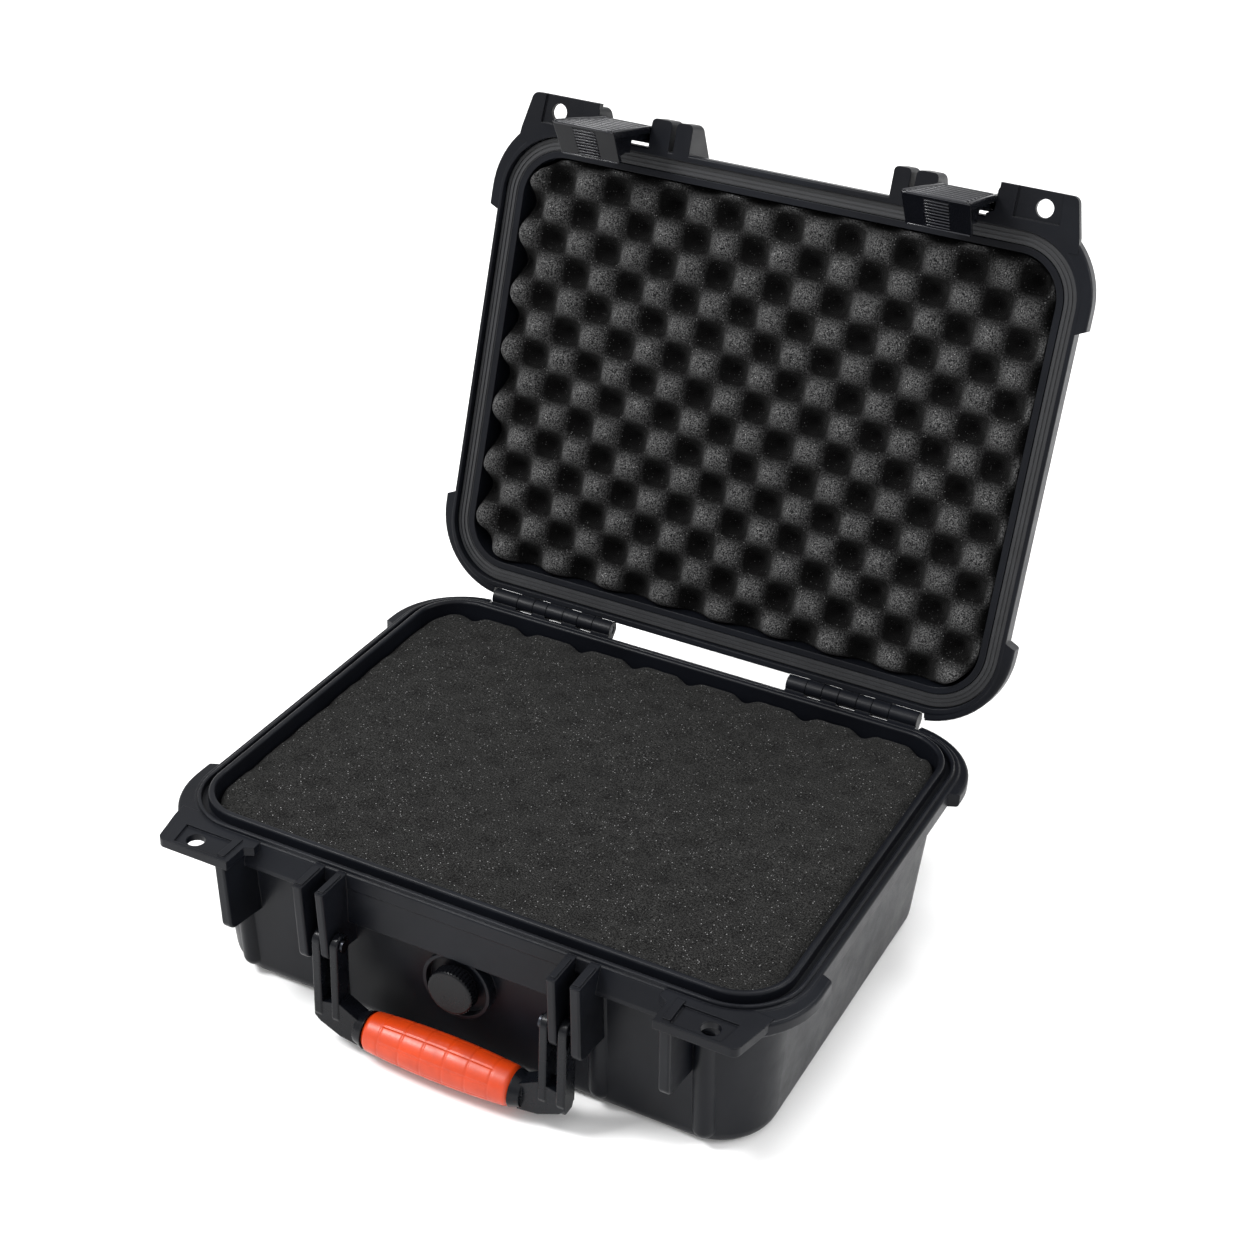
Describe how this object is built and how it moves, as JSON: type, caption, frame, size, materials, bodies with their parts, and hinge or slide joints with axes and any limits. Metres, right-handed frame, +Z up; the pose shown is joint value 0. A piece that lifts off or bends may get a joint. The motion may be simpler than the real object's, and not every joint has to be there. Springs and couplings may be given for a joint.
{
  "type": "hard equipment case",
  "caption": "Hard plastic equipment case shown open: hinged lid, swing-over latches, folding front handle, purge valve, rim seal, egg-crate lid foam and block foam in the base.",
  "frame": {"origin": "centre of the flat underside of the base", "axes": "+Z up, +X to the right seen from the handle side, -Y towards the handle; the lid is at its open rest position behind the base"},
  "size_m": [0.337, 0.4017, 0.3657],
  "materials": {
    "shell_plastic": "injection moulded polypropylene, fine sand texture, black",
    "handle_plastic": "injection moulded nylon, satin black",
    "latch_plastic": "injection moulded, slightly glossier black with cross ridges",
    "trim_plastic": "moulded black plastic",
    "grip_rubber": "overmoulded orange-red soft grip with raised lines",
    "seal_rubber": "grey rubber seal",
    "convoluted_foam": "open-cell polyurethane foam, charcoal, egg-crate face",
    "block_foam": "open-cell polyurethane foam, charcoal, flat cut face",
    "pin_steel": "plain steel rod"
  },
  "bodies": {
    "base": {"base_shell": "shell_plastic", "foam_base_pad": "block_foam", "foam_middle_layer": "block_foam", "foam_top_layer": "block_foam", "hinge_pin_left": "pin_steel", "hinge_pin_right": "pin_steel", "handle_pin_left": "pin_steel", "handle_pin_right": "pin_steel", "valve_body": "trim_plastic", "valve_o_ring": "seal_rubber", "valve_nut": "trim_plastic"},
    "lid": {"lid_shell": "shell_plastic", "lid_gasket": "seal_rubber", "lid_foam": "convoluted_foam", "latch_pin_left": "pin_steel", "latch_pin_right": "pin_steel"},
    "left_latch": {"latch_left": "latch_plastic"},
    "right_latch": {"latch_right": "latch_plastic"},
    "handle": {"handle_frame": "handle_plastic", "handle_grip": "grip_rubber"},
    "valve_cap": {"valve_knob": "trim_plastic"}
  },
  "joints": [
    {"name": "lid_hinge", "type": "hinge", "parent": "base", "child": "lid", "pos_m": [0, 0.1322, 0.0956], "axis": [1, 0, 0], "range_deg": [0, 106.5]},
    {"name": "left_latch_pivot", "type": "hinge", "parent": "lid", "child": "left_latch", "pos_m": [-0.0952, 0.22102, 0.34651], "axis": [-1, 0, 0], "range_deg": [0, 105]},
    {"name": "right_latch_pivot", "type": "hinge", "parent": "lid", "child": "right_latch", "pos_m": [0.0952, 0.22102, 0.34651], "axis": [-1, 0, 0], "range_deg": [0, 105]},
    {"name": "handle_pivot", "type": "hinge", "parent": "base", "child": "handle", "pos_m": [0, -0.1362, 0.062], "axis": [-1, 0, 0], "range_deg": [0, 120]},
    {"name": "valve_turn", "type": "hinge", "parent": "base", "child": "valve_cap", "pos_m": [0, -0.126, 0.05], "axis": [0, -1, 0], "range_deg": [0, 270]}
  ]
}
